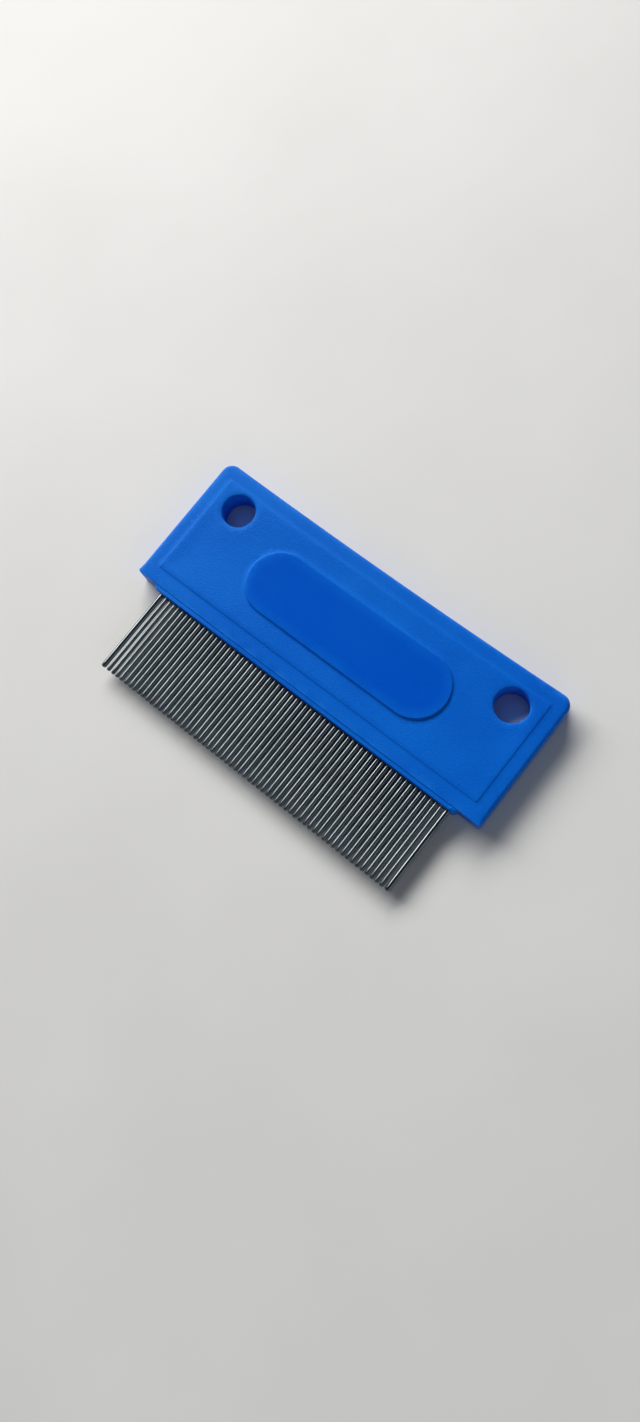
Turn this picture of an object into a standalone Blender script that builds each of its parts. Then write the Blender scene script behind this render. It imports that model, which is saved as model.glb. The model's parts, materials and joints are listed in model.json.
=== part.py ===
"""Flea comb: a row of straight steel needles set in a plastic bar, in the lower edge of a flat plastic handle.

The comb lies flat. X runs along the handle, +Y points from the needle tips to the plain edge of the
handle, and +Z is up. The origin is the centre of the comb's footprint, on the surface it lies on.
"""

import math

import bmesh
import bpy
from mathutils import Vector

MM = 0.001

# Handle, whose height is given at the middle and whose upper edge bows up towards its ends
HANDLE_LENGTH = 73.8 * MM
HANDLE_HEIGHT = 25.1 * MM
UPPER_EDGE_BOW = 0.4 * MM
BORDER_THICKNESS = 4.1 * MM
PANEL_RISE = 0.15 * MM
PAD_RISE = 0.25 * MM
PANEL_BORDER_ENDS = 2.7 * MM
PANEL_BORDER_EDGES = 2.75 * MM
PAD_LENGTH = 41.8 * MM
PAD_WIDTH = 12.3 * MM
UPPER_CORNER_RADIUS = 2.0 * MM
LOWER_CORNER_RADIUS = 0.7 * MM
EDGE_ROUNDING = 0.5 * MM
HOLE_RADIUS = 3.0 * MM
HOLE_SPACING = 58.4 * MM
HOLE_ABOVE_CENTRE = 6.4 * MM

# Needles
NEEDLE_PITCH = 1.0 * MM
NEEDLE_DIAMETER = 0.75 * MM
NEEDLE_COUNT = 61
NEEDLE_REACH = 16.95 * MM
NEEDLE_ROOT = 7.0 * MM
GUARD_DIAMETER = 0.98 * MM
GUARD_PITCH = 1.12 * MM
HAIRPIN_COUNT = 5
HAIRPIN_BEND_SEGMENTS = 6

# Needle bar
BAR_STEM_LENGTH = 64.0 * MM
BAR_STEM_THICKNESS = 2.4 * MM
BAR_STEM_DEPTH = 6.4 * MM
BAR_LIP_LENGTH = 65.2 * MM
BAR_LIP_THICKNESS = 4.05 * MM
BAR_LIP_HEIGHT = 0.75 * MM
BAR_EDGE_ROUNDING = 0.15 * MM
NEEDLE_HOLE_CLEARANCE = 0.05 * MM
POCKET_CLEARANCE = 0.08 * MM
POCKET_SPARE_DEPTH = 1.4 * MM

# Facets
ROUND_FACETS = 40
CORNER_FACETS = 6
UPPER_EDGE_FACETS = 16
PAD_END_FACETS = 20
NEEDLE_FACETS = 10
WELD_DISTANCE = 0.001 * MM
CUT_THROUGH = 2.0 * MM

# Places that follow from the sizes above
PANEL_THICKNESS = BORDER_THICKNESS + 2 * PANEL_RISE
MIDDLE_Z = PANEL_THICKNESS / 2
UPPER_EDGE_Y = (HANDLE_HEIGHT + NEEDLE_REACH - UPPER_EDGE_BOW) / 2
LOWER_EDGE_Y = UPPER_EDGE_Y - HANDLE_HEIGHT
HANDLE_CENTRE = Vector((0, (UPPER_EDGE_Y + LOWER_EDGE_Y) / 2, MIDDLE_Z))
ROOT_END_Y = LOWER_EDGE_Y + NEEDLE_ROOT
TIP_Y = LOWER_EDGE_Y - NEEDLE_REACH
GUARD_X = (NEEDLE_COUNT - 1) / 2 * NEEDLE_PITCH + GUARD_PITCH

BLUE_PLASTIC = (0.012, 0.115, 0.56)
STEEL = (0.42, 0.43, 0.44)


def clear_scene():
    for found in list(bpy.data.objects):
        bpy.data.objects.remove(found)


def collection(name, hidden=False):
    made = bpy.data.collections.new(name)
    made.hide_render = hidden
    bpy.context.scene.collection.children.link(made)
    return made


def material(name, colour, roughness, metallic):
    made = bpy.data.materials.new(name)
    made.use_nodes = True
    shader = made.node_tree.nodes["Principled BSDF"]
    shader.inputs["Base Color"].default_value = (*colour, 1)
    shader.inputs["Roughness"].default_value = roughness
    shader.inputs["Metallic"].default_value = metallic
    return made


def add_object(name, data, group):
    made = bpy.data.objects.new(name, data)
    group.objects.link(made)
    return made


def mark_as_cutter(cutter):
    cutter.hide_render = True
    cutter.display_type = "WIRE"


def arc(centre, radius, start, end, facets):
    """Points along a circle, from one angle to another in degrees."""
    points = []
    for step in range(facets + 1):
        angle = math.radians(start + (end - start) * step / facets)
        points.append((centre[0] + radius * math.cos(angle), centre[1] + radius * math.sin(angle)))
    return points


def handle_outline():
    """The handle about its centre, anticlockwise from the lower left: its upper edge dips towards the middle."""
    half_x = HANDLE_LENGTH / 2
    half_y = HANDLE_HEIGHT / 2
    lower = (half_x - LOWER_CORNER_RADIUS, -half_y + LOWER_CORNER_RADIUS)
    upper = (half_x - UPPER_CORNER_RADIUS, half_y + UPPER_EDGE_BOW - UPPER_CORNER_RADIUS)
    points = arc((-lower[0], lower[1]), LOWER_CORNER_RADIUS, 180, 270, CORNER_FACETS)
    points += arc(lower, LOWER_CORNER_RADIUS, 270, 360, CORNER_FACETS)
    points += arc(upper, UPPER_CORNER_RADIUS, 0, 90, CORNER_FACETS)
    for step in range(1, UPPER_EDGE_FACETS):
        share = 1 - 2 * step / UPPER_EDGE_FACETS
        points.append((share * upper[0], half_y + UPPER_EDGE_BOW * share**2))
    points += arc((-upper[0], upper[1]), UPPER_CORNER_RADIUS, 90, 180, CORNER_FACETS)
    return points


def stadium_outline(length, width):
    radius = width / 2
    reach = length / 2 - radius
    return arc((reach, 0), radius, -90, 90, PAD_END_FACETS) + arc((-reach, 0), radius, 90, 270, PAD_END_FACETS)


def mesh_from_curve(curve_object, group):
    """Turns a curve object into a closed mesh object in the same place and removes the curve."""
    bpy.context.view_layer.update()
    evaluated = curve_object.evaluated_get(bpy.context.evaluated_depsgraph_get())
    mesh = bpy.data.meshes.new_from_object(evaluated)
    work = bmesh.new()
    work.from_mesh(mesh)
    bmesh.ops.remove_doubles(work, verts=work.verts, dist=WELD_DISTANCE)
    work.to_mesh(mesh)
    work.free()
    made = add_object(curve_object.name + "_solid", mesh, group)
    made.matrix_world = curve_object.matrix_world
    bpy.data.objects.remove(curve_object)
    return made


def plate(name, outline, thickness, centre, group):
    """A flat solid with the given outline, its thickness centred on a point."""
    curve = bpy.data.curves.new(name, "CURVE")
    curve.dimensions = "2D"
    curve.fill_mode = "BOTH"
    curve.extrude = thickness / 2
    spline = curve.splines.new("POLY")
    spline.points.add(len(outline) - 1)
    for point, (x, y) in zip(spline.points, outline):
        point.co = (x, y, 0, 1)
    spline.use_cyclic_u = True
    drawn = add_object(name, curve, group)
    drawn.location = centre
    return mesh_from_curve(drawn, group)


def box(name, size, centre, group):
    mesh = bpy.data.meshes.new(name)
    work = bmesh.new()
    bmesh.ops.create_cube(work, size=1)
    bmesh.ops.scale(work, vec=size, verts=work.verts)
    work.to_mesh(mesh)
    work.free()
    made = add_object(name, mesh, group)
    made.location = centre
    return made


def round_edges(target, width, segments):
    bevel = target.modifiers.new("rounded_edges", "BEVEL")
    bevel.width = width
    bevel.segments = segments
    bevel.limit_method = "ANGLE"
    bevel.angle_limit = math.radians(50)
    bevel.use_clamp_overlap = False


def combine(target, other, operation):
    boolean = target.modifiers.new(operation.lower() + "_" + other.name, "BOOLEAN")
    boolean.operation = operation
    boolean.object = other
    mark_as_cutter(other)


def shade_smooth(mesh):
    mesh.shade_smooth()
    mesh.set_sharp_from_angle(angle=math.radians(35))


def finish_piece(piece, name, finish):
    piece.name = name
    piece.data.materials.clear()
    piece.data.materials.append(finish)


def hanging_hole(side, cutters):
    """The cutter of one of the two round holes that run through the handle near its upper corners."""
    mesh = bpy.data.meshes.new("hanging_hole")
    work = bmesh.new()
    depth = PANEL_THICKNESS + 2 * CUT_THROUGH
    bmesh.ops.create_cone(
        work, cap_ends=True, segments=ROUND_FACETS, radius1=HOLE_RADIUS, radius2=HOLE_RADIUS, depth=depth
    )
    work.to_mesh(mesh)
    work.free()
    made = add_object("hanging_hole", mesh, cutters)
    made.location = HANDLE_CENTRE + Vector((side * HOLE_SPACING / 2, HOLE_ABOVE_CENTRE, 0))
    return made


def make_handle(parts, cutters, finish):
    """A flat moulding: a raised panel on each face, an oval pad in front, an oval hollow behind, a bar pocket."""
    handle = plate("handle_plate", handle_outline(), BORDER_THICKNESS, HANDLE_CENTRE, parts)
    round_edges(handle, EDGE_ROUNDING, 3)

    panel_size = (
        HANDLE_LENGTH - 2 * PANEL_BORDER_ENDS,
        HANDLE_HEIGHT - 2 * PANEL_BORDER_EDGES,
        PANEL_THICKNESS,
    )
    combine(handle, box("panel", panel_size, HANDLE_CENTRE, cutters), "UNION")
    oval = stadium_outline(PAD_LENGTH, PAD_WIDTH)
    pad_centre = HANDLE_CENTRE + Vector((0, 0, (PANEL_THICKNESS / 2 + PAD_RISE) / 2))
    pad = plate("oval_pad", oval, PANEL_THICKNESS / 2 + PAD_RISE, pad_centre, cutters)
    combine(handle, pad, "UNION")
    hollow_centre = HANDLE_CENTRE - Vector((0, 0, PANEL_THICKNESS / 2))
    combine(handle, plate("oval_hollow", oval, 2 * PAD_RISE, hollow_centre, cutters), "DIFFERENCE")

    for side in (-1, 1):
        combine(handle, hanging_hole(side, cutters), "DIFFERENCE")

    pocket_depth = NEEDLE_ROOT + POCKET_SPARE_DEPTH
    pocket_size = (
        BAR_STEM_LENGTH + 2 * POCKET_CLEARANCE,
        pocket_depth + CUT_THROUGH,
        BAR_STEM_THICKNESS + 2 * POCKET_CLEARANCE,
    )
    pocket_centre = (0, LOWER_EDGE_Y + (pocket_depth - CUT_THROUGH) / 2, MIDDLE_Z)
    combine(handle, box("bar_pocket", pocket_size, pocket_centre, cutters), "DIFFERENCE")
    finish_piece(handle, "handle", finish)
    shade_smooth(handle.data)


def needle_places():
    """Each regular needle's X, from left to right."""
    return [(index - (NEEDLE_COUNT - 1) / 2) * NEEDLE_PITCH for index in range(NEEDLE_COUNT)]


def needle_holes(cutters):
    """One cutter that holds a cylinder for each needle and each guard pin."""
    mesh = bpy.data.meshes.new("needle_holes")
    work = bmesh.new()
    places = [(x, NEEDLE_DIAMETER / 2) for x in needle_places()]
    places += [(-GUARD_X, GUARD_DIAMETER / 2), (GUARD_X, GUARD_DIAMETER / 2)]
    length = BAR_STEM_DEPTH + BAR_LIP_HEIGHT + 2 * CUT_THROUGH
    for x, radius in places:
        hole_radius = radius + NEEDLE_HOLE_CLEARANCE
        made = bmesh.ops.create_cone(
            work, cap_ends=True, segments=NEEDLE_FACETS, radius1=hole_radius, radius2=hole_radius, depth=length
        )
        bmesh.ops.translate(work, vec=(x, 0, 0), verts=made["verts"])
    work.to_mesh(mesh)
    work.free()
    made = add_object("needle_holes", mesh, cutters)
    made.rotation_euler = (math.radians(90), 0, 0)
    made.location = (0, LOWER_EDGE_Y + (BAR_STEM_DEPTH - BAR_LIP_HEIGHT) / 2, MIDDLE_Z)
    return made


def make_needle_bar(parts, cutters, finish):
    """The strip that holds the needles: a stem in the handle's pocket and a lip outside it."""
    gap = POCKET_CLEARANCE
    lip_size = (BAR_LIP_LENGTH, BAR_LIP_HEIGHT - gap, BAR_LIP_THICKNESS)
    lip_centre = (0, LOWER_EDGE_Y - gap - lip_size[1] / 2, MIDDLE_Z)
    bar = box("bar_lip", lip_size, lip_centre, parts)
    round_edges(bar, BAR_EDGE_ROUNDING, 2)

    overlap = BAR_LIP_HEIGHT / 2
    stem_size = (BAR_STEM_LENGTH, BAR_STEM_DEPTH + overlap, BAR_STEM_THICKNESS)
    stem_centre = (0, LOWER_EDGE_Y + (BAR_STEM_DEPTH - overlap) / 2, MIDDLE_Z)
    combine(bar, box("bar_stem", stem_size, stem_centre, cutters), "UNION")
    combine(bar, needle_holes(cutters), "DIFFERENCE")
    finish_piece(bar, "needle_bar", finish)


def wire(name, path, diameter, group):
    """A round wire along a path of (x, y, thickness share) points, in the plane of the needles."""
    curve = bpy.data.curves.new(name, "CURVE")
    curve.dimensions = "3D"
    curve.bevel_depth = diameter / 2
    curve.bevel_resolution = 3
    curve.use_fill_caps = True
    spline = curve.splines.new("POLY")
    spline.points.add(len(path) - 1)
    for point, (x, y, share) in zip(spline.points, path):
        point.co = (x, y, 0, 1)
        point.radius = share
    spline.use_smooth = True
    made = add_object(name, curve, group)
    made.location.z = MIDDLE_Z
    return made


def leg(x, diameter, root_y):
    """A straight needle's path, from its root in the bar down to its rounded tip."""
    round_start = diameter / 2
    return [
        (x, root_y, 1.0),
        (x, TIP_Y + round_start, 1.0),
        (x, TIP_Y + 0.35 * round_start, 0.78),
        (x, TIP_Y, 0.3),
    ]


def hairpin(left, right, diameter):
    """Two needles made of one wire, bent back on itself above the bar."""
    centre = ((left + right) / 2, ROOT_END_Y)
    bend = arc(centre, (right - left) / 2, 180, 0, HAIRPIN_BEND_SEGMENTS)
    path = leg(left, diameter, ROOT_END_Y)[:0:-1]
    path += [(x, y, 1.0) for x, y in bend]
    return path + leg(right, diameter, ROOT_END_Y)[1:]


def make_needles(parts, finish):
    """Single needles from the left, then the hairpins, then a thicker guard pin at each end of the row."""
    places = needle_places()
    single_count = NEEDLE_COUNT - 2 * HAIRPIN_COUNT
    for number, x in enumerate(places[:single_count], 1):
        needle = wire(f"needle_{number:02d}", leg(x, NEEDLE_DIAMETER, ROOT_END_Y), NEEDLE_DIAMETER, parts)
        needle.data.materials.append(finish)
    for number in range(HAIRPIN_COUNT):
        left = places[single_count + 2 * number]
        path = hairpin(left, left + NEEDLE_PITCH, NEEDLE_DIAMETER)
        pair = wire(f"needle_pair_{number + 1}", path, NEEDLE_DIAMETER, parts)
        pair.data.materials.append(finish)
    for name, x in (("guard_pin_left", -GUARD_X), ("guard_pin_right", GUARD_X)):
        pin = wire(name, leg(x, GUARD_DIAMETER, ROOT_END_Y), GUARD_DIAMETER, parts)
        pin.data.materials.append(finish)


def main():
    clear_scene()
    parts = collection("flea_comb")
    cutters = collection("cutters", hidden=True)
    make_handle(parts, cutters, material("handle_plastic", BLUE_PLASTIC, 0.42, 0.0))
    make_needle_bar(parts, cutters, material("bar_plastic", BLUE_PLASTIC, 0.5, 0.0))
    make_needles(parts, material("needle_steel", STEEL, 0.3, 1.0))


main()
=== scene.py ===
import json
import math

import bmesh
import bpy
import numpy as np
from mathutils import Matrix, Vector
from mathutils.geometry import delaunay_2d_cdt


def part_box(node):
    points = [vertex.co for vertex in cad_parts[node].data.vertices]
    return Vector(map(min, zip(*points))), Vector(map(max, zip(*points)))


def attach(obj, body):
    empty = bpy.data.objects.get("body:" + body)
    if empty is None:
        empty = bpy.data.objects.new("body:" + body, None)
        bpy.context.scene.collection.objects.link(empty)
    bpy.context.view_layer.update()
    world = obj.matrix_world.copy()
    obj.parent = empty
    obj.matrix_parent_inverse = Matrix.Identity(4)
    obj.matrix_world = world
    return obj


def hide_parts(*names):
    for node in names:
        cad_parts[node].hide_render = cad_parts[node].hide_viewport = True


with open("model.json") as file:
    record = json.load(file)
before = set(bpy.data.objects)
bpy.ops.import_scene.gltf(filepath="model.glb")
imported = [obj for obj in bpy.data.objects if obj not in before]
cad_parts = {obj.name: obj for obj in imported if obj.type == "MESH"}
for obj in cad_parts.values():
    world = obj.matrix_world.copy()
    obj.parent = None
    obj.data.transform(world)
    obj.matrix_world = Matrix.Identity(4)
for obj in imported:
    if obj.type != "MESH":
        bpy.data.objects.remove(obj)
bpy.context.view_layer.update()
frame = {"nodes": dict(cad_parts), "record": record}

MM = 0.001

# The comb lies flat: X along the handle, +Y from the needle tips to the plain edge, +Z up, origin under it.
HANDLE_LOW, HANDLE_HIGH = (np.array(corner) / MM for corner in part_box("handle"))
BAR_LOW, BAR_HIGH = (np.array(corner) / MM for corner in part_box("needle_bar"))

# Handle, in millimetres
PANEL_RISE = 0.1
PAD_RISE = 0.25
UPPER_EDGE_BOW = 0.4
PANEL_BORDER_ENDS = 2.7
PANEL_BORDER_EDGES = 2.75
PANEL_CORNER_RADIUS = 0.4
PAD_LENGTH = 41.8
PAD_WIDTH = 12.3
UPPER_CORNER_RADIUS = 2.0
LOWER_CORNER_RADIUS = 0.65
EDGE_ROUNDING = 0.75
LOWER_EDGE_ROUNDING = 0.1
BORDER_CROWN = 0.09
BORDER_CROWN_WIDTH = 2.4
HOLE_RADIUS = 2.95
HOLE_RIM_ROUNDING = 0.4
PANEL_STEP_HALF_WIDTH = 0.1
PAD_STEP_HALF_WIDTH = 0.2
PAD_DISH = 0.1
SINK_DEPTH = 0.12
PAD_HOLLOW_DEPTH = 0.05
PAD_HOLLOW_REACH = 1.3
SEAM_RIDGE = 0.02
WALL_DRAFT = 0.03
SINK_FADE = 1.5
WAVE_COUNT = 9
WAVE_RATES = (0.12, 0.55)
SMALLEST_RADIUS = 0.02
FACE_GRID_SPACING = 0.75
FACE_GRID_INSET = (0.9, 0.7)
FACE_GRID_CLEARANCE = 0.3
POLISH_FADE = 2.5
# Widths of the lighter bands on the edges, the hole rims and the pad's rim: partly wear, partly a painted
# highlight along them.
EDGE_WEAR_AND_HIGHLIGHT_WIDTH = 0.9
RIM_WEAR_WIDTH = 0.5
PAD_RIM_HIGHLIGHT_WIDTH = 0.3

# The height is measured at the middle, where the upper edge is lowest.
HALF_LENGTH = (HANDLE_HIGH[0] - HANDLE_LOW[0]) / 2
HALF_HEIGHT = (HANDLE_HIGH[1] - UPPER_EDGE_BOW - HANDLE_LOW[1]) / 2
HANDLE_CENTRE = (HANDLE_LOW + HANDLE_HIGH) / 2 - np.array((0, UPPER_EDGE_BOW / 2, 0))
PANEL_HALF = (HALF_LENGTH - PANEL_BORDER_ENDS, HALF_HEIGHT - PANEL_BORDER_EDGES)
PAD_FRONT_Z = HANDLE_HIGH[2]
PANEL_FRONT_Z = PAD_FRONT_Z - PAD_RISE
PANEL_BACK_Z = HANDLE_LOW[2]
BORDER_FRONT_Z = PANEL_FRONT_Z - PANEL_RISE
BORDER_BACK_Z = PANEL_BACK_Z + PANEL_RISE
MIDDLE_Z = (PANEL_FRONT_Z + PANEL_BACK_Z) / 2
HOLES = [
    (np.array(opening["box_m"]).mean(axis=0) / MM - HANDLE_CENTRE)[:2]
    for opening in frame["record"]["physics"]["openings"]
]

# Needle bar, in millimetres
LIP_GAP = 0.02
LIP_ROUNDING = 0.14
LIP_END_SLANT = 0.5
LIP_CORNER_RADIUS = 0.3
STEM_OVERLAP = 0.3
STEM_THICKNESS = 2.4
STEM_LENGTH = 64.0
POCKET_CLEARANCE = 0.08
POCKET_SPARE_DEPTH = 1.92
NEEDLE_HOLE_CLEARANCE = 0.04
NUB_SIZE = (0.5, 0.3, 0.22)
NUB_FROM_END = 1.1
NUB_BELOW_HANDLE = 0.36
NUB_BELOW_FACE = 0.1

# Needles, in millimetres
NEEDLE_RADIUS = 0.375
GUARD_RADIUS = 0.49
NEEDLE_PITCH = 1.0
TIP_SCATTER = 0.045
TIP_SCATTER_MOST = 0.09
TIP_DOME = 0.85
BEND_POWER = 1.6
NEEDLE_SIDES = 20
BEND_RINGS = 10

rng = np.random.default_rng(7)


# Mesh helpers

def new_object(name, vertices, faces, materials, smooth_below=40):
    """An object from millimetre coordinates, facing out and shaded smooth below an angle."""
    mesh = bpy.data.meshes.new(name)
    work = bmesh.new()
    made = [work.verts.new(Vector(v) * MM) for v in vertices]
    for face in faces:
        work.faces.new([made[i] for i in face])
    bmesh.ops.recalc_face_normals(work, faces=work.faces)
    work.to_mesh(mesh)
    work.free()
    for material in materials:
        mesh.materials.append(material)
    smooth(mesh, smooth_below)
    piece = bpy.data.objects.new(name, mesh)
    bpy.context.scene.collection.objects.link(piece)
    return piece


def smooth(mesh, degrees):
    mesh.shade_smooth()
    mesh.set_sharp_from_angle(angle=math.radians(degrees))


def arc(centre, radius, start, end, count):
    angles = np.radians(np.linspace(start, end, count))
    return np.column_stack([centre[0] + radius * np.cos(angles), centre[1] + radius * np.sin(angles)])


def straight(start, end, count):
    """Points between two ends, without the ends."""
    share = np.linspace(0, 1, count + 2)[1:-1, None]
    return np.array(start) * (1 - share) + np.array(end) * share


def rounded_rectangle(left, right, low, high, lower_radius, upper_radius, along=60, up=20, corner=9):
    """A closed outline with the same number of points at any size, so that two of them can be bridged."""
    lower_radius = max(lower_radius, SMALLEST_RADIUS)
    upper_radius = max(upper_radius, SMALLEST_RADIUS)
    corners = [
        arc((left + lower_radius, low + lower_radius), lower_radius, 180, 270, corner),
        arc((right - lower_radius, low + lower_radius), lower_radius, 270, 360, corner),
        arc((right - upper_radius, high - upper_radius), upper_radius, 0, 90, corner),
        arc((left + upper_radius, high - upper_radius), upper_radius, 90, 180, corner),
    ]
    counts = (along, up, along, up)
    parts = []
    for index, points in enumerate(corners):
        parts.append(points)
        parts.append(straight(points[-1], corners[(index + 1) % 4][0], counts[index]))
    return np.concatenate(parts)


def stadium(length, width, offset, along=50, end=40):
    """The outline of a bar with round ends, grown by an offset."""
    radius = width / 2 + offset
    reach = (length - width) / 2
    right = arc((reach, 0), radius, -90, 90, end)
    left = arc((-reach, 0), radius, 90, 270, end)
    upper = straight(right[-1], left[0], along)
    lower = straight(left[-1], right[0], along)
    return np.concatenate([right, upper, left, lower])


def circle(centre, radius, count=72):
    return arc(centre, radius, 0, 360, count + 1)[:-1]


def bridge(first, second):
    """Quads between two closed loops of vertex numbers of equal length."""
    count = len(first)
    return [
        (first[i], first[(i + 1) % count], second[(i + 1) % count], second[i]) for i in range(count)
    ]


def applied_boolean(target, cutter, operation):
    """Applies an exact Boolean to the target and removes the other object."""
    modifier = target.modifiers.new("cut", "BOOLEAN")
    modifier.operation = operation
    modifier.object = cutter
    modifier.solver = "EXACT"
    bpy.context.view_layer.update()
    evaluated = target.evaluated_get(bpy.context.evaluated_depsgraph_get())
    mesh = bpy.data.meshes.new_from_object(evaluated)
    target.modifiers.clear()
    old = target.data
    target.data = mesh
    bpy.data.meshes.remove(old)
    bpy.data.objects.remove(cutter)


# Handle shape

def bowed(points):
    """Points moved up towards the handle's ends, most at its upper edge: the moulding's slight warp."""
    x, y = np.asarray(points)[:, 0], np.asarray(points)[:, 1]
    return np.column_stack([x, y + bow(x, y)])


def bow(x, y):
    """How far the warp lifts a point: nothing at the lower edge, most at the upper edge near the ends."""
    up = np.clip((y + HALF_HEIGHT) / (2 * HALF_HEIGHT), 0, 1)
    return UPPER_EDGE_BOW * up * np.clip(np.abs(x) / (HALF_LENGTH - UPPER_CORNER_RADIUS), 0, 1) ** 2


def panel_distance(x, y):
    """Distance to the panel's outline, negative inside it."""
    y = y - bow(x, y)
    qx = np.abs(x) - (PANEL_HALF[0] - PANEL_CORNER_RADIUS)
    qy = np.abs(y) - (PANEL_HALF[1] - PANEL_CORNER_RADIUS)
    outside = np.hypot(np.maximum(qx, 0), np.maximum(qy, 0))
    return outside + np.minimum(np.maximum(qx, qy), 0) - PANEL_CORNER_RADIUS


def pad_distance(x, y):
    reach = (PAD_LENGTH - PAD_WIDTH) / 2
    return np.hypot(np.maximum(np.abs(x) - reach, 0), y) - PAD_WIDTH / 2


def hole_distance(x, y):
    return np.min([np.hypot(x - hole[0], y - hole[1]) for hole in HOLES], axis=0) - HOLE_RADIUS


def step(distance, half_width):
    """0 outside an outline and 1 inside it, with a smooth slope between."""
    share = np.clip((half_width - distance) / (2 * half_width), 0, 1)
    return share * share * (3 - 2 * share)


# Each wave: how fast it turns along X and along Y, in radians per millimetre, and where it starts.
WAVES = [
    (
        rng.uniform(*WAVE_RATES) * math.cos(turn),
        rng.uniform(*WAVE_RATES) * math.sin(turn),
        rng.uniform(0, 6.28),
    )
    for turn in rng.uniform(0, 3.14, WAVE_COUNT)
]


def sinks(x, y):
    """The shallow hollows and swells that thick moulded plastic is left with as it cools."""
    wave = sum(np.sin(kx * x + ky * y + phase) for kx, ky, phase in WAVES) / 3
    beside_pad = np.exp(-np.maximum(pad_distance(x, y), 0) / PAD_HOLLOW_REACH)
    return SINK_DEPTH * (1 - np.tanh(wave)) / 2 + PAD_HOLLOW_DEPTH * beside_pad


def crown(x, y):
    """How far the border falls towards the plain edges of the handle."""
    to_edge = np.minimum(HALF_LENGTH - np.abs(x), HALF_HEIGHT + bow(x, y) - y)
    return BORDER_CROWN * (1 - np.clip(to_edge / BORDER_CROWN_WIDTH, 0, 1)) ** 2


def front_height(x, y):
    on_panel = step(panel_distance(x, y), PANEL_STEP_HALF_WIDTH)
    from_rim = pad_distance(x, y)
    on_pad = step(from_rim + PAD_STEP_HALF_WIDTH, PAD_STEP_HALF_WIDTH)
    inwards = np.clip(-from_rim / (PAD_WIDTH / 2), 0, 1)
    dish = PAD_DISH * (1 - (1 - inwards) ** 2) * on_pad
    sunk = sinks(x, y) * on_panel * (1 - on_pad) * step(panel_distance(x, y) + SINK_FADE, SINK_FADE)
    return BORDER_FRONT_Z + PANEL_RISE * on_panel + PAD_RISE * on_pad - dish - sunk - crown(x, y)


def back_height(x, y):
    on_panel = step(panel_distance(x, y), PANEL_STEP_HALF_WIDTH)
    in_oval = step(pad_distance(x, y) + PAD_STEP_HALF_WIDTH, PAD_STEP_HALF_WIDTH)
    sunk = sinks(-x, y) * on_panel * (1 - in_oval) * step(panel_distance(x, y) + SINK_FADE, SINK_FADE)
    return BORDER_BACK_Z - PANEL_RISE * on_panel + PAD_RISE * in_oval + sunk + crown(x, y)


def edge_loop(turn):
    """The handle's outline part of the way round its rounded edge: 0 at the wall, 90 degrees at the face.

    Gives the outline and how far each of its points lies below the face.
    """
    inward = 1 - math.cos(turn)
    side = EDGE_ROUNDING * inward
    low = LOWER_EDGE_ROUNDING * inward
    outline = rounded_rectangle(
        -HALF_LENGTH + side,
        HALF_LENGTH - side,
        -HALF_HEIGHT + low,
        HALF_HEIGHT - side,
        LOWER_CORNER_RADIUS - side,
        UPPER_CORNER_RADIUS - side,
    )
    # The small rounding of the lower edge grows into the full one from 0.4 to 1.2 roundings above that edge.
    from_lower_edge = (outline[:, 1] + HALF_HEIGHT) / EDGE_ROUNDING
    facing_down = np.clip((1.2 - from_lower_edge) / 0.8, 0, 1)
    radius = EDGE_ROUNDING * (1 - facing_down) + LOWER_EDGE_ROUNDING * facing_down
    return bowed(outline), radius * (1 - math.sin(turn))


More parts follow.
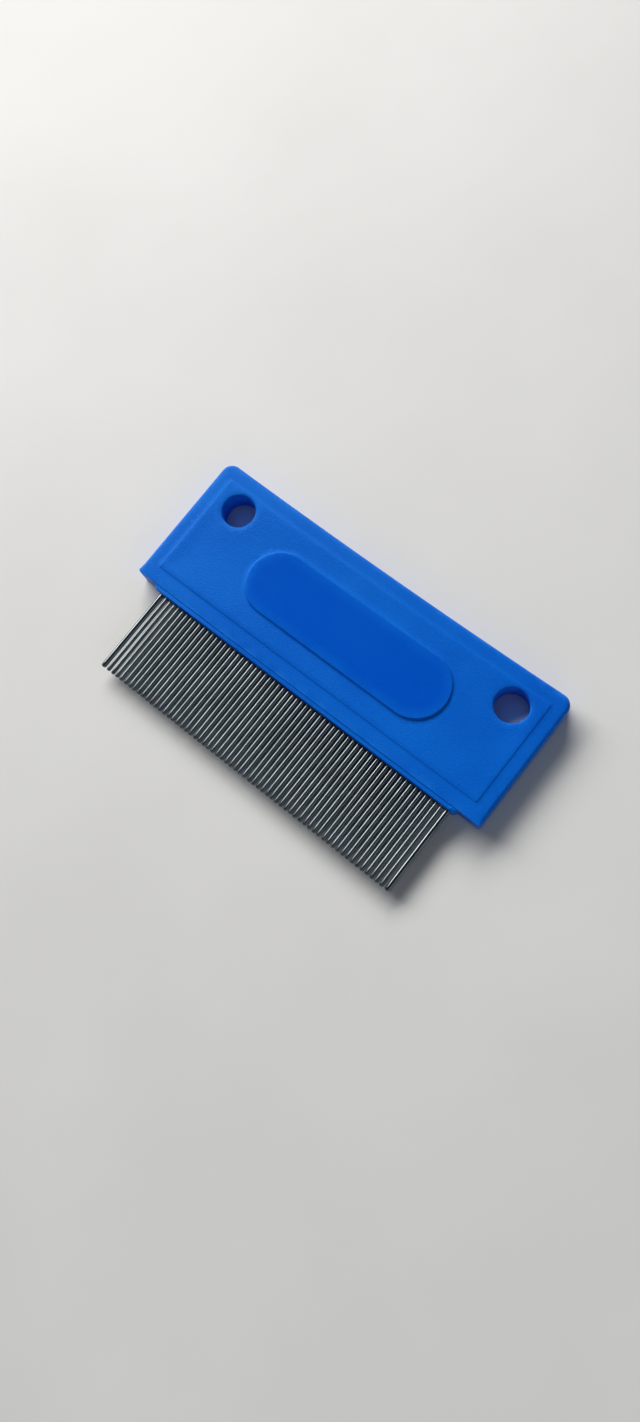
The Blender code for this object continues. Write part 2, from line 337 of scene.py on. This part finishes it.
def face_sheet(height, boundary):
    """One face of the handle as triangles between its outline, its steps, its holes and a grid.

    Gives the vertices, the faces, and the vertex numbers of the outline and of each hole's rim.
    """
    loops = [boundary]
    loops += [circle(hole, HOLE_RADIUS + HOLE_RIM_ROUNDING) for hole in HOLES]
    for share in (-1, -0.5, 0, 0.5, 1):
        offset = share * PANEL_STEP_HALF_WIDTH
        outline = rounded_rectangle(
            -PANEL_HALF[0] - offset,
            PANEL_HALF[0] + offset,
            -PANEL_HALF[1] - offset,
            PANEL_HALF[1] + offset,
            PANEL_CORNER_RADIUS + offset,
            PANEL_CORNER_RADIUS + offset,
        )
        loops.append(bowed(outline))
    for share in np.linspace(-1, 1, 9):
        loops.append(stadium(PAD_LENGTH, PAD_WIDTH, share * PAD_STEP_HALF_WIDTH - PAD_STEP_HALF_WIDTH))

    points = []
    edges = []
    for loop in loops:
        first = len(points)
        points += loop.tolist()
        edges += [(first + i, first + (i + 1) % len(loop)) for i in range(len(loop))]

    grid_x, grid_y = np.meshgrid(
        np.arange(-HALF_LENGTH + FACE_GRID_INSET[0], HALF_LENGTH, FACE_GRID_SPACING),
        np.arange(-HALF_HEIGHT + FACE_GRID_INSET[1], HALF_HEIGHT, FACE_GRID_SPACING),
    )
    grid_x = grid_x + np.where(np.arange(len(grid_x))[:, None] % 2, FACE_GRID_SPACING / 2, 0)
    from_pad_step = np.abs(pad_distance(grid_x, grid_y) + PAD_STEP_HALF_WIDTH)
    clear = (
        (np.abs(panel_distance(grid_x, grid_y)) > PANEL_STEP_HALF_WIDTH + FACE_GRID_CLEARANCE)
        & (from_pad_step > PAD_STEP_HALF_WIDTH + FACE_GRID_CLEARANCE)
        & (hole_distance(grid_x, grid_y) > HOLE_RIM_ROUNDING + FACE_GRID_CLEARANCE)
        & (np.abs(grid_x) < HALF_LENGTH - EDGE_ROUNDING - FACE_GRID_CLEARANCE)
        & (np.abs(grid_y) < HALF_HEIGHT - EDGE_ROUNDING - FACE_GRID_CLEARANCE)
    )
    points += np.column_stack([grid_x[clear], grid_y[clear]]).tolist()

    inside_outline = 1
    flat, _, faces, origins, _, _ = delaunay_2d_cdt(
        [Vector(p) for p in points], edges, [], inside_outline, 1e-6
    )
    place_of = {}
    for index, sources in enumerate(origins):
        for source in sources:
            place_of[source] = index
    flat = np.array([tuple(v) for v in flat])
    centres = np.array([flat[list(face)].mean(axis=0) for face in faces])
    outside_holes = hole_distance(centres[:, 0], centres[:, 1]) > 0.5 * HOLE_RIM_ROUNDING
    faces = [face for face, keep in zip(faces, outside_holes) if keep]
    vertices = np.column_stack([flat, height(flat[:, 0], flat[:, 1])])
    rims = []
    first = 0
    for loop in loops[: 1 + len(HOLES)]:
        rims.append([place_of[first + i] for i in range(len(loop))])
        first += len(loop)
    return vertices, faces, rims


def make_handle(plastic):
    """The handle: two detailed faces, rounded edges, a seam round the wall, holes and the bar's pocket."""
    turns = np.radians(np.linspace(90, 0, 7))
    outline, _ = edge_loop(turns[0])
    front, front_faces, front_rims = face_sheet(front_height, outline)
    back, back_faces, back_rims = face_sheet(back_height, outline)

    vertices = [front, back]
    faces = [tuple(face) for face in front_faces]
    faces += [tuple(len(front) + i for i in face) for face in back_faces]
    count = len(front) + len(back)

    def add_loop(points, z):
        nonlocal count
        heights = np.broadcast_to(z, len(points))
        vertices.append(np.column_stack([points, heights]))
        count += len(points)
        return list(range(count - len(points), count))

    wall = [front_rims[0]]
    front_edge_z = front_height(outline[:, 0], outline[:, 1])
    back_edge_z = back_height(outline[:, 0], outline[:, 1])
    for turn in turns[1:]:
        points, drop = edge_loop(turn)
        wall.append(add_loop(points * (1 - WALL_DRAFT / HALF_LENGTH), front_edge_z - drop))
    widest, _ = edge_loop(0)
    shrink = 1 - SEAM_RIDGE / HALF_LENGTH
    wall.append(add_loop(widest * shrink, MIDDLE_Z + 2 * SEAM_RIDGE))
    wall.append(add_loop(widest, MIDDLE_Z))
    wall.append(add_loop(widest * shrink, MIDDLE_Z - 2 * SEAM_RIDGE))
    for turn in turns[:0:-1]:
        points, drop = edge_loop(turn)
        wall.append(add_loop(points * (1 - WALL_DRAFT / HALF_LENGTH), back_edge_z + drop))
    wall.append([len(front) + i for i in back_rims[0]])
    for first, second in zip(wall, wall[1:]):
        faces += bridge(first, second)

    for number, hole in enumerate(HOLES, 1):
        bore = [front_rims[number]]
        turns_in = np.radians(np.linspace(0, 90, 6))[1:]
        rim = circle(hole, HOLE_RADIUS + HOLE_RIM_ROUNDING)
        front_z = front_height(rim[:, 0], rim[:, 1])
        back_z = back_height(rim[:, 0], rim[:, 1])
        for turn in turns_in:
            ring = circle(hole, HOLE_RADIUS + HOLE_RIM_ROUNDING * (1 - math.sin(turn)))
            bore.append(add_loop(ring, front_z - HOLE_RIM_ROUNDING * (1 - math.cos(turn))))
        for share in (0.3, 0.5, 0.7):
            ring = circle(hole, HOLE_RADIUS)
            bore.append(add_loop(ring, front_z * (1 - share) + back_z * share))
        for turn in turns_in[::-1]:
            ring = circle(hole, HOLE_RADIUS + HOLE_RIM_ROUNDING * (1 - math.sin(turn)))
            bore.append(add_loop(ring, back_z + HOLE_RIM_ROUNDING * (1 - math.cos(turn))))
        bore.append([len(front) + i for i in back_rims[number]])
        for first, second in zip(bore, bore[1:]):
            faces += bridge(first, second)

    points = np.concatenate(vertices) + np.array([HANDLE_CENTRE[0], HANDLE_CENTRE[1], 0])
    handle = new_object("handle_moulding", points, faces, [plastic])

    half_length = STEM_LENGTH / 2 + POCKET_CLEARANCE
    half_thickness = STEM_THICKNESS / 2 + POCKET_CLEARANCE
    pocket = block(
        "pocket",
        (-half_length, HANDLE_LOW[1] - 1, MIDDLE_Z - half_thickness),
        (half_length, BAR_HIGH[1] + POCKET_SPARE_DEPTH, MIDDLE_Z + half_thickness),
    )
    applied_boolean(handle, pocket, "DIFFERENCE")
    smooth(handle.data, 40)
    mark_surface(handle.data)
    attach(handle, "root")
    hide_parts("handle")


def mark_surface(mesh):
    """Marks the plastic with two attributes: pad, 1 on the polished pad, and one that is 1 on rubbed edges,
    hole rims and the pad's rim, where the plastic is painted lighter, partly as wear and partly as a painted
    highlight.
    """
    count = len(mesh.vertices)
    places = np.empty(count * 3)
    mesh.vertices.foreach_get("co", places)
    places = places.reshape(-1, 3) / MM - HANDLE_CENTRE
    x, y = places[:, 0], places[:, 1]
    polished = np.clip(-pad_distance(x, y) / POLISH_FADE, 0, 1)
    # Edges and hole rims are marked for the lighter colour: partly wear, partly a painted highlight.
    to_edge = np.minimum(HALF_LENGTH - np.abs(x), HALF_HEIGHT - np.abs(y))
    wear_and_highlight = np.maximum(1 - to_edge / EDGE_WEAR_AND_HIGHLIGHT_WIDTH, 1 - np.abs(hole_distance(x, y)) / RIM_WEAR_WIDTH)
    # The pad's rim is marked too, for a painted highlight line along it.
    pad_rim_highlight = step(np.abs(pad_distance(x, y) + PAD_STEP_HALF_WIDTH), PAD_RIM_HIGHLIGHT_WIDTH)
    wear_and_highlight = np.maximum(np.clip(wear_and_highlight, 0, 1), pad_rim_highlight)
    for name, values in (("pad", polished), ("wear_and_highlight", wear_and_highlight)):
        layer = mesh.attributes.new(name, "FLOAT", "POINT")
        layer.data.foreach_set("value", values.astype(np.float32))


def block(name, low, high):
    """A plain box between two corners: a cutter, the bar's stem or the floor."""
    corners = [(x, y, z) for x in (low[0], high[0]) for y in (low[1], high[1]) for z in (low[2], high[2])]
    sides = [(0, 1, 3, 2), (4, 6, 7, 5), (0, 4, 5, 1), (2, 3, 7, 6), (0, 2, 6, 4), (1, 5, 7, 3)]
    return new_object(name, corners, sides, [])


# Needle bar and needles

def lip_outline(inset):
    """The lip from above: square against the handle, slanted at its ends, rounded at its outer corners."""
    left = BAR_LOW[0] + inset
    right = BAR_HIGH[0] - inset
    low = BAR_LOW[1] + inset
    high = HANDLE_LOW[1] - LIP_GAP
    radius = LIP_CORNER_RADIUS - inset
    left_corner = arc((left + LIP_END_SLANT + radius, low + radius), radius, 200, 270, 7)
    right_corner = arc((right - LIP_END_SLANT - radius, low + radius), radius, 270, 340, 7)
    edge = straight(left_corner[-1], right_corner[0], 60)
    return np.concatenate([[(left, high)], left_corner, edge, right_corner, [(right, high)]])


def make_bar(plastic, wires):
    """The needle bar: a lip with rounded edges, a stem, a hole for each wire and a moulding nub."""
    vertices = []
    faces = []
    loops = []
    levels = []
    for turn in np.radians(np.linspace(90, 0, 5)):
        inset = LIP_ROUNDING * (1 - math.cos(turn))
        levels.append((inset, BAR_HIGH[2] - LIP_ROUNDING * (1 - math.sin(turn))))
    levels += [(inset, BAR_LOW[2] + BAR_HIGH[2] - z) for inset, z in levels[::-1]]
    for inset, z in levels:
        outline = lip_outline(inset)
        loops.append(list(range(len(vertices), len(vertices) + len(outline))))
        vertices += [(x, y, z) for x, y in outline]
    for first, second in zip(loops, loops[1:]):
        faces += bridge(first, second)
    faces += [tuple(loops[0]), tuple(loops[-1][::-1])]
    bar = new_object("needle_bar_moulding", vertices, faces, [plastic])

    stem = block(
        "stem",
        (-STEM_LENGTH / 2, HANDLE_LOW[1] - STEM_OVERLAP, MIDDLE_Z - STEM_THICKNESS / 2),
        (STEM_LENGTH / 2, BAR_HIGH[1], MIDDLE_Z + STEM_THICKNESS / 2),
    )
    applied_boolean(bar, stem, "UNION")
    applied_boolean(bar, moulding_nub(), "UNION")
    applied_boolean(bar, wire_holes(wires), "DIFFERENCE")
    smooth(bar.data, 40)
    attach(bar, "root")
    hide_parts("needle_bar")


def moulding_nub():
    """A small rounded bump that the mould leaves on the lip's right end."""
    mesh = bpy.data.meshes.new("nub")
    work = bmesh.new()
    bmesh.ops.create_uvsphere(work, u_segments=24, v_segments=16, radius=1)
    bmesh.ops.scale(work, vec=Vector(NUB_SIZE) * MM, verts=work.verts)
    work.to_mesh(mesh)
    work.free()
    nub = bpy.data.objects.new("nub", mesh)
    place = (BAR_HIGH[0] - NUB_FROM_END, HANDLE_LOW[1] - NUB_BELOW_HANDLE, BAR_HIGH[2] - NUB_BELOW_FACE)
    nub.location = Vector(place) * MM
    bpy.context.scene.collection.objects.link(nub)
    return nub


def wire_holes(wires):
    """One object that holds a cylinder round each wire."""
    mesh = bpy.data.meshes.new("wire_holes")
    work = bmesh.new()
    length = BAR_HIGH[1] - BAR_LOW[1] + 4
    turned = Matrix.Rotation(math.radians(90), 4, "X")
    middle = (BAR_HIGH[1] + BAR_LOW[1]) / 2
    for x, radius in wires:
        place = Matrix.Translation(Vector((x, middle, MIDDLE_Z)) * MM) @ turned
        width = (radius + NEEDLE_HOLE_CLEARANCE) * MM
        bmesh.ops.create_cone(
            work, cap_ends=True, segments=16, radius1=width, radius2=width, depth=length * MM, matrix=place
        )
    work.to_mesh(mesh)
    work.free()
    holes = bpy.data.objects.new("wire_holes", mesh)
    bpy.context.scene.collection.objects.link(holes)
    return holes


def tip_rings(radius, tip_y):
    """Places and widths of the rings that round a wire's tip off: (y, share of the radius)."""
    turns = np.radians((0, 22, 42, 60, 76, 86))
    return [(tip_y + TIP_DOME * radius * (1 - math.sin(turn)), math.cos(turn)) for turn in turns]


def leg_path(x, radius, root_y, bar_y, tip_y):
    """A wire's centre line from its root to its tip, straight in the bar and slightly bent outside it."""
    sideways, upwards = np.clip(rng.normal(0, TIP_SCATTER, 2), -TIP_SCATTER_MOST, TIP_SCATTER_MOST)
    full_width_end = tip_y + TIP_DOME * radius
    sections = [(root_y, 1.0), (bar_y, 1.0)]
    for share in np.linspace(0, 1, BEND_RINGS)[1:-1]:
        sections.append((bar_y + (full_width_end - bar_y) * share, 1.0))
    sections += tip_rings(radius, tip_y)
    path = []
    for y, width in sections:
        out = max(0, (bar_y - y) / (bar_y - tip_y))
        bend = out ** BEND_POWER
        path.append((Vector((x + sideways * bend, y, MIDDLE_Z + upwards * bend)), radius * width))
    return path


def hairpin_bend(left, right, root_y):
    """The bend that joins two wires inside the handle, from the left leg to the right one."""
    centre = ((left + right) / 2, root_y)
    points = arc(centre, (right - left) / 2, 180, 0, 11)[1:-1]
    return [(Vector((x, y, MIDDLE_Z)), NEEDLE_RADIUS) for x, y in points]


def make_wire(name, path, node, steel):
    """A round wire swept along a path in the plane of the needles, with closed rounded ends."""
    vertices = []
    loops = []
    for index, (place, radius) in enumerate(path):
        before = path[max(index - 1, 0)][0]
        after = path[min(index + 1, len(path) - 1)][0]
        along = (after - before).normalized()
        across = along.cross(Vector((0, 0, 1))).normalized()
        up = across.cross(along)
        loops.append(list(range(len(vertices), len(vertices) + NEEDLE_SIDES)))
        for side in range(NEEDLE_SIDES):
            turn = 2 * math.pi * side / NEEDLE_SIDES
            vertices.append(place + radius * (math.cos(turn) * across + math.sin(turn) * up))
    faces = []
    for first, second in zip(loops, loops[1:]):
        faces += bridge(first, second)
    faces += [tuple(loops[0]), tuple(loops[-1][::-1])]
    wire = new_object(name, vertices, faces, [steel], 60)
    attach(wire, "root")
    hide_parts(node)


def make_needles(steel):
    """Every wire of the row in its CAD node's place. Gives each wire's (x, radius), for the bar's holes."""
    wires = []
    bar_y = BAR_LOW[1]
    for node in sorted(frame["nodes"]):
        if not node.startswith(("needle_", "guard_pin")) or node == "needle_bar":
            continue
        low, high = (np.array(corner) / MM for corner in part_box(node))
        middle = (low[0] + high[0]) / 2
        if node.startswith("needle_pair"):
            left = middle - NEEDLE_PITCH / 2
            right = middle + NEEDLE_PITCH / 2
            root_y = high[1] - NEEDLE_PITCH / 2 - NEEDLE_RADIUS
            path = leg_path(left, NEEDLE_RADIUS, root_y, bar_y, low[1])[::-1]
            path += hairpin_bend(left, right, root_y)
            path += leg_path(right, NEEDLE_RADIUS, root_y, bar_y, low[1])
            wires += [(left, NEEDLE_RADIUS), (right, NEEDLE_RADIUS)]
        else:
            radius = GUARD_RADIUS if node.startswith("guard") else NEEDLE_RADIUS
            path = leg_path(middle, radius, high[1], bar_y, low[1])
            wires.append((middle, radius))
        make_wire(node + "_wire", path, node, steel)
    return wires


# Materials

def new_material(name):
    material = bpy.data.materials.new(name)
    material.use_nodes = True
    nodes = material.node_tree.nodes
    return material, nodes, material.node_tree.links, nodes["Principled BSDF"]


def noise(nodes, links, coordinates, scale, detail, stretch=(1, 1, 1)):
    mapping = nodes.new("ShaderNodeMapping")
    mapping.inputs["Scale"].default_value = stretch
    links.new(coordinates, mapping.inputs["Vector"])
    texture = nodes.new("ShaderNodeTexNoise")
    texture.inputs["Scale"].default_value = scale
    texture.inputs["Detail"].default_value = detail
    links.new(mapping.outputs["Vector"], texture.inputs["Vector"])
    return texture.outputs["Fac"]


def ramp(nodes, links, value, low, high, out_low, out_high):
    """Maps a value's range to another range, clamped."""
    made = nodes.new("ShaderNodeMapRange")
    for socket, number in zip(("From Min", "From Max", "To Min", "To Max"), (low, high, out_low, out_high)):
        made.inputs[socket].default_value = number
    links.new(value, made.inputs["Value"])
    return made.outputs["Result"]


def combine(nodes, links, operation, first, second):
    made = nodes.new("ShaderNodeMath")
    made.operation = operation
    for socket, value in zip(made.inputs, (first, second)):
        if isinstance(value, (int, float)):
            socket.default_value = value
        else:
            links.new(value, socket)
    return made.outputs["Value"]


def mix_colour(nodes, links, share, first, second):
    made = nodes.new("ShaderNodeMix")
    made.data_type = "RGBA"
    links.new(share, made.inputs["Factor"])
    for socket, value in (("A", first), ("B", second)):
        target = next(i for i in made.inputs if i.name == socket and i.type == "RGBA")
        if isinstance(value, tuple):
            target.default_value = (*value, 1)
        else:
            links.new(value, target)
    return next(o for o in made.outputs if o.type == "RGBA")


def bump(nodes, links, height, distance_mm, strength):
    made = nodes.new("ShaderNodeBump")
    made.inputs["Distance"].default_value = distance_mm * MM
    made.inputs["Strength"].default_value = strength
    links.new(height, made.inputs["Height"])
    return made.outputs["Normal"]


def attribute(nodes, name):
    made = nodes.new("ShaderNodeAttribute")
    made.attribute_name = name
    return made.outputs["Fac"]


BLUE = (0.003, 0.126, 0.61)
BLUE_DEEP = (0.002, 0.094, 0.54)
BLUE_POLISHED = (0.001, 0.082, 0.54)
# A lighter blue for rubbed edges and the pad's rim: partly wear, partly a painted highlight.
BLUE_RUBBED_AND_HIGHLIGHT = (0.012, 0.175, 0.72)
# Steel colours darkened below bare steel: painted shade for the dim surroundings the needles reflect. The
# duller one is for random dull patches.
STEEL_WITH_SHADE = (0.15, 0.17, 0.185)
STEEL_DULL_WITH_SHADE = (0.11, 0.127, 0.14)
FLOOR_DARK = (0.69, 0.68, 0.66)
FLOOR_LIGHT = (0.73, 0.72, 0.70)


def blue_plastic(name, polished_pad):
    """Satin blue moulded plastic with a fine grain and cloudy gloss.

    polished_pad adds the handle's smoother pad and its lighter rubbed edges and pad rim, from mark_surface's
    attributes; that lighter colour is partly wear and partly a painted highlight along the edges and the
    rim.
    """
    material, nodes, links, shader = new_material(name)
    place = nodes.new("ShaderNodeTexCoord").outputs["Object"]
    clouds = noise(nodes, links, place, 90, 1.5)
    fine_clouds = noise(nodes, links, place, 420, 3)
    grain = noise(nodes, links, place, 4200, 2)
    fine_grain = noise(nodes, links, place, 9000, 1)
    scratches = noise(nodes, links, place, 900, 2, (0.12, 6, 1))

    # The colour clouds give a random mottled tone and also stand in for sheen patches: partly painted sheen.
    cloud_tone_and_sheen = ramp(nodes, links, clouds, 0.35, 0.65, 0, 0.6)
    grain_tone = ramp(nodes, links, grain, 0.3, 0.7, 0, 0.4)
    tone = combine(nodes, links, "ADD", cloud_tone_and_sheen, grain_tone)
    colour = mix_colour(nodes, links, tone, BLUE_DEEP, BLUE)
    matte = ramp(nodes, links, clouds, 0.25, 0.75, 0.37, 0.47)
    matte = combine(nodes, links, "ADD", matte, ramp(nodes, links, fine_clouds, 0.3, 0.7, -0.03, 0.03))
    grain_height = combine(nodes, links, "ADD", grain, combine(nodes, links, "MULTIPLY", fine_grain, 0.5))
    if polished_pad:
        pad = attribute(nodes, "pad")
        wear_and_highlight = attribute(nodes, "wear_and_highlight")
        # Rubbed edges and the pad's rim get a lighter blue: partly wear, partly a painted highlight.
        broken_wear_and_highlight = ramp(nodes, links, fine_clouds, 0.4, 0.65, 0.1, 0.7)
        rubbed_and_highlight = combine(nodes, links, "MULTIPLY", wear_and_highlight, broken_wear_and_highlight)
        on_pad = ramp(nodes, links, pad, 0.05, 0.9, 0, 1)
        colour = mix_colour(nodes, links, on_pad, colour, BLUE_POLISHED)
        colour = mix_colour(nodes, links, rubbed_and_highlight, colour, BLUE_RUBBED_AND_HIGHLIGHT)
        smoother = ramp(nodes, links, pad, 0, 0.08, 0, 0.12)
        matte = combine(nodes, links, "SUBTRACT", matte, smoother)
        matte = combine(nodes, links, "SUBTRACT", matte, combine(nodes, links, "MULTIPLY", rubbed_and_highlight, 0.08))
        flat = ramp(nodes, links, pad, 0, 0.35, 1, 0.12)
        grain_height = combine(nodes, links, "MULTIPLY", grain_height, flat)
        scratches = ramp(nodes, links, scratches, 0.66, 0.7, 0, 0.015)
        hairlines = combine(nodes, links, "MULTIPLY", scratches, pad)
        grain_height = combine(nodes, links, "SUBTRACT", grain_height, hairlines)
    links.new(colour, shader.inputs["Base Color"])
    links.new(matte, shader.inputs["Roughness"])
    links.new(bump(nodes, links, grain_height, 0.06, 1.0), shader.inputs["Normal"])
    shader.inputs["IOR"].default_value = 1.49
    shader.inputs["Specular Tint"].default_value = (0.0, 0.55, 0.9, 1)
    shader.inputs["Specular IOR Level"].default_value = 0.3
    shader.inputs["Subsurface Weight"].default_value = 0.15
    shader.inputs["Subsurface Radius"].default_value = (0.1, 0.4, 1.0)
    shader.inputs["Subsurface Scale"].default_value = 0.7 * MM
    return material


def needle_steel():
    """Drawn steel wire: dull polish, with die lines along its length and a few duller patches; both colours
    are darkened below bare steel as painted shade for the dim surroundings the wire reflects.
    """
    material, nodes, links, shader = new_material("drawn_steel")
    place = nodes.new("ShaderNodeTexCoord").outputs["Object"]
    die_lines = noise(nodes, links, place, 9000, 2, (1, 0.012, 1))
    patches = noise(nodes, links, place, 260, 3)
    tone = ramp(nodes, links, patches, 0.35, 0.7, 0, 1)
    links.new(mix_colour(nodes, links, tone, STEEL_WITH_SHADE, STEEL_DULL_WITH_SHADE), shader.inputs["Base Color"])
    dull = ramp(nodes, links, patches, 0.3, 0.7, 0.1, 0.17)
    links.new(dull, shader.inputs["Roughness"])
    links.new(bump(nodes, links, die_lines, 0.001, 0.15), shader.inputs["Normal"])
    shader.inputs["Metallic"].default_value = 1.0
    return material


def floor_material():
    material, nodes, links, shader = new_material("pale_floor")
    place = nodes.new("ShaderNodeTexCoord").outputs["Object"]
    mottle = ramp(nodes, links, noise(nodes, links, place, 25, 4), 0.3, 0.7, 0, 1)
    links.new(mix_colour(nodes, links, mottle, FLOOR_DARK, FLOOR_LIGHT), shader.inputs["Base Color"])
    shader.inputs["Roughness"].default_value = 0.6
    return material


# Stage, light and camera

# The camera stands above the comb, off its right end and on the side of the needles.
VIEW_TARGET = (4.23, -4.575, 2.2)
VIEW_AZIMUTH = 67.0
VIEW_ELEVATION = 74.25
VIEW_DISTANCE = 178.54
VIEW_ROLL = -29.2
LENS = 27.06
SENSOR_WIDTH = 36

KEY_DIRECTION = (-0.74, 0.38, 0.55)
KEY_DISTANCE = 1.2
KEY_SIZE = (1.45, 0.5)
KEY_POWER = 25
KEY_COLOUR = (1.0, 0.99, 0.97)
FILL_DIRECTION = (0.75, -0.45, 0.42)
FILL_DISTANCE = 1.0
FILL_SIZE = (1.6, 0.5)
FILL_POWER = 2.0
FILL_COLOUR = (0.85, 0.93, 1.0)
SURROUND_COLOUR = (0.75, 0.85, 1.0, 1)
SURROUND_STRENGTH = 0.1
FLOOR_HALF_WIDTH = 1500
FLOOR_THICKNESS = 10
FLOOR_GAP = 0.02


def direction(azimuth, elevation):
    """A unit vector: azimuth 0 is towards -Y, 90 towards +X."""
    flat = math.cos(math.radians(elevation))
    return Vector((
        flat * math.sin(math.radians(azimuth)),
        -flat * math.cos(math.radians(azimuth)),
        math.sin(math.radians(elevation)),
    ))


def make_camera():
    data = bpy.data.cameras.new("camera")
    data.lens = LENS
    data.sensor_width = SENSOR_WIDTH
    data.clip_start = 0.005
    camera = bpy.data.objects.new("camera", data)
    outwards = direction(VIEW_AZIMUTH, VIEW_ELEVATION)
    right = Vector((0, 0, 1)).cross(outwards).normalized()
    up = outwards.cross(right)
    axes = Matrix((right, up, outwards)).transposed().to_4x4()
    roll = Matrix.Rotation(math.radians(VIEW_ROLL), 4, "Z")
    place = Matrix.Translation((Vector(VIEW_TARGET) + outwards * VIEW_DISTANCE) * MM)
    camera.matrix_world = place @ axes @ roll
    bpy.context.scene.collection.objects.link(camera)
    bpy.context.scene.camera = camera


def area_light(name, towards, distance, size, power, colour):
    data = bpy.data.lights.new(name, "AREA")
    data.shape = "RECTANGLE"
    data.size, data.size_y = size
    data.energy = power
    data.color = colour
    light = bpy.data.objects.new(name, data)
    towards = Vector(towards).normalized()
    light.location = towards * distance
    light.rotation_euler = towards.to_track_quat("Z", "Y").to_euler()
    bpy.context.scene.collection.objects.link(light)


def make_stage():
    floor_object = block(
        "floor",
        (-FLOOR_HALF_WIDTH, -FLOOR_HALF_WIDTH, -FLOOR_THICKNESS),
        (FLOOR_HALF_WIDTH, FLOOR_HALF_WIDTH, -FLOOR_GAP),
    )
    floor_object.data.materials.append(floor_material())
    area_light("window_light", KEY_DIRECTION, KEY_DISTANCE, KEY_SIZE, KEY_POWER, KEY_COLOUR)
    area_light("fill_light", FILL_DIRECTION, FILL_DISTANCE, FILL_SIZE, FILL_POWER, FILL_COLOUR)
    world = bpy.data.worlds.new("studio")
    world.use_nodes = True
    background = world.node_tree.nodes["Background"]
    background.inputs["Color"].default_value = SURROUND_COLOUR
    background.inputs["Strength"].default_value = SURROUND_STRENGTH
    bpy.context.scene.world = world
    bpy.context.scene.view_settings.view_transform = "Standard"


make_stage()
make_camera()
make_handle(blue_plastic("blue_plastic", polished_pad=True))
row = make_needles(needle_steel())
make_bar(blue_plastic("blue_bar_plastic", polished_pad=False), row)
